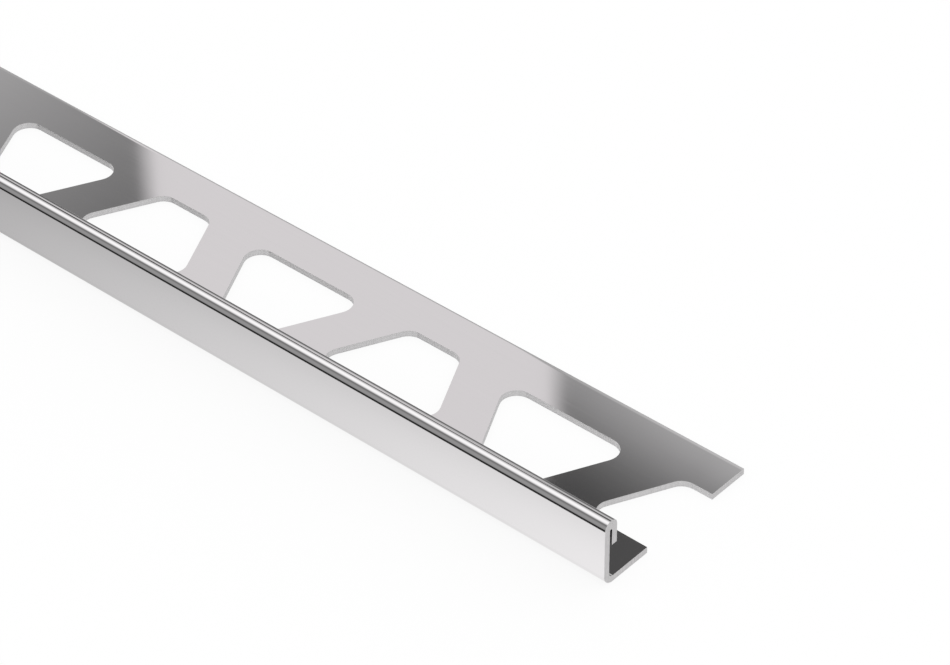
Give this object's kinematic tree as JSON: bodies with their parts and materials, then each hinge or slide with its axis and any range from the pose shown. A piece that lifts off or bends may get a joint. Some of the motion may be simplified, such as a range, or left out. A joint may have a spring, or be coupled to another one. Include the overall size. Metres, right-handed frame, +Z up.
{
  "type": "tile edge trim",
  "caption": "Straight length of stainless steel tile edge trim: low upright face with a folded hem, and a flat bedding leg with a row of alternately turned trapezoid holes.",
  "frame": {"origin": "centre of the bounding box's underside, which is the leg's bedding face, at mid-length", "axes": "+X along the stock, towards the cut end that the picture shows; +Z up from the bedding face; -Y the side that the upright face looks to, +Y the free edge of the leg"},
  "size_m": [2.5, 0.03, 0.011],
  "materials": {
    "stainless_steel": "polished"
  },
  "bodies": {
    "root": {"edge_trim": "stainless_steel"}
  },
  "joints": []
}
